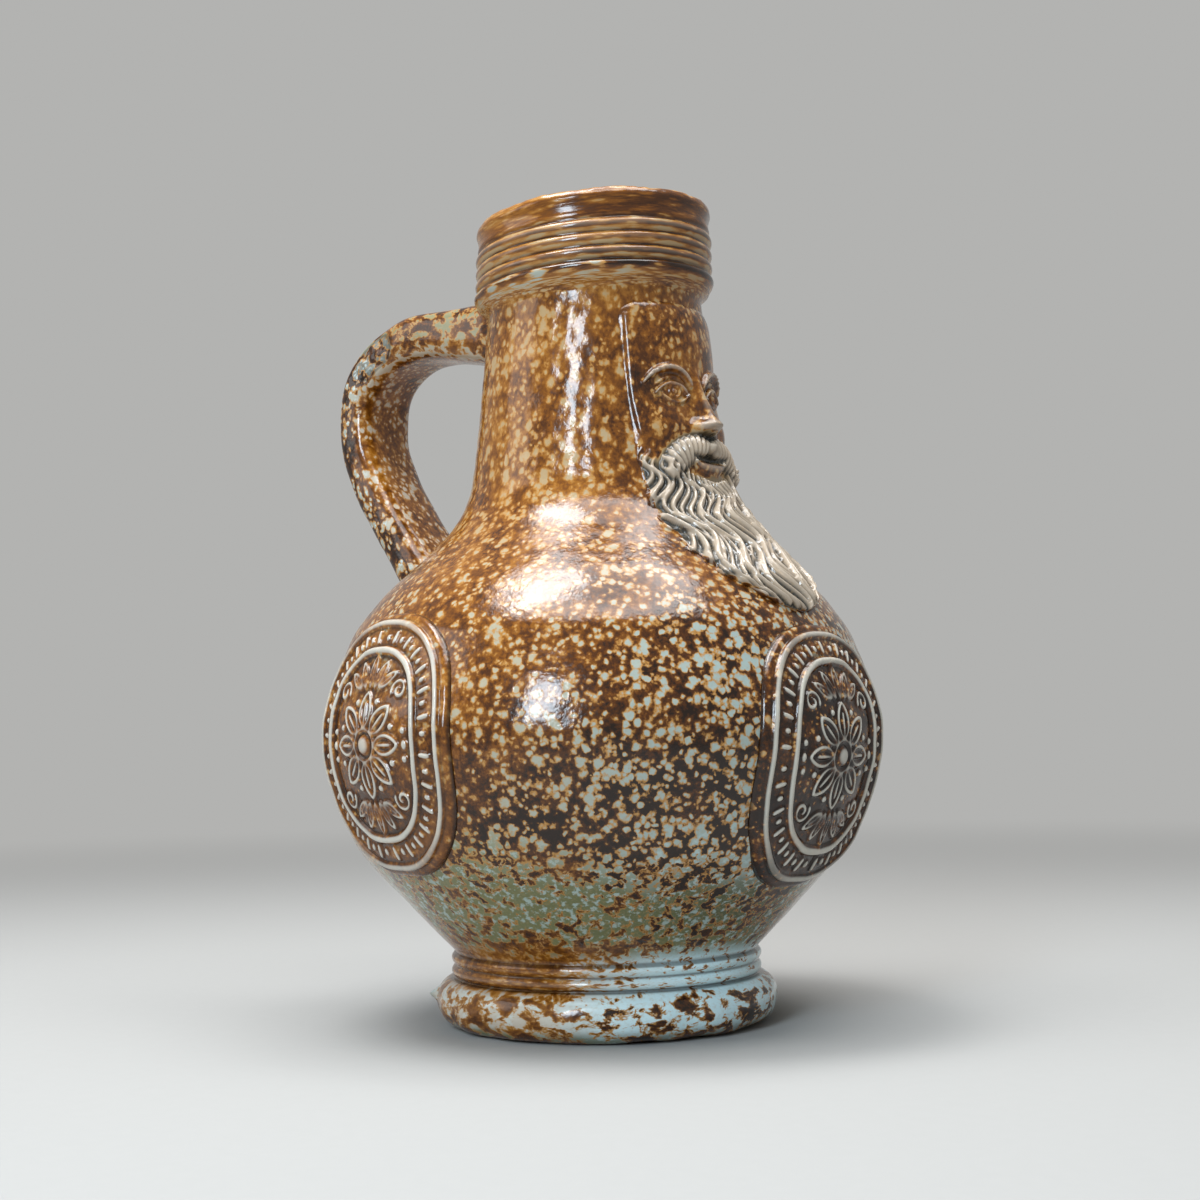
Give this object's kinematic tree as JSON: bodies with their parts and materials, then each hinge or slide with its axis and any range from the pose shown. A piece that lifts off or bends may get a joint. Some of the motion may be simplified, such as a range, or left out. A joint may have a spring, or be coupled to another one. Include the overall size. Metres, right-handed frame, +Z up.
{
  "type": "bartmann jug",
  "caption": "Round-bellied salt-glazed stoneware jug with a ringed collar, strap handle, bearded mask on the neck and oval medallions; holds and pours liquid.",
  "frame": {"origin": "centre of the flat base, on the surface the jug stands on", "axes": "+Z up along the jug's axis, the mask faces -Y, the handle stands at +Y"},
  "size_m": [0.1522, 0.1689, 0.2154],
  "materials": {
    "body_glaze": "glossy mottled salt glaze, brown over pale stoneware",
    "handle_glaze": "glossy mottled salt glaze, olive and brown",
    "mask_glaze": "glossy salt glaze, pale on the relief and brown in the hollows",
    "medallion_glaze": "glossy salt glaze, pale on the relief and dark in the hollows"
  },
  "bodies": {
    "root": {"thrown_body": "body_glaze", "strap_handle": "handle_glaze", "bearded_mask": "mask_glaze", "front_medallion": "medallion_glaze", "left_medallion": "medallion_glaze", "right_medallion": "medallion_glaze"}
  },
  "joints": []
}
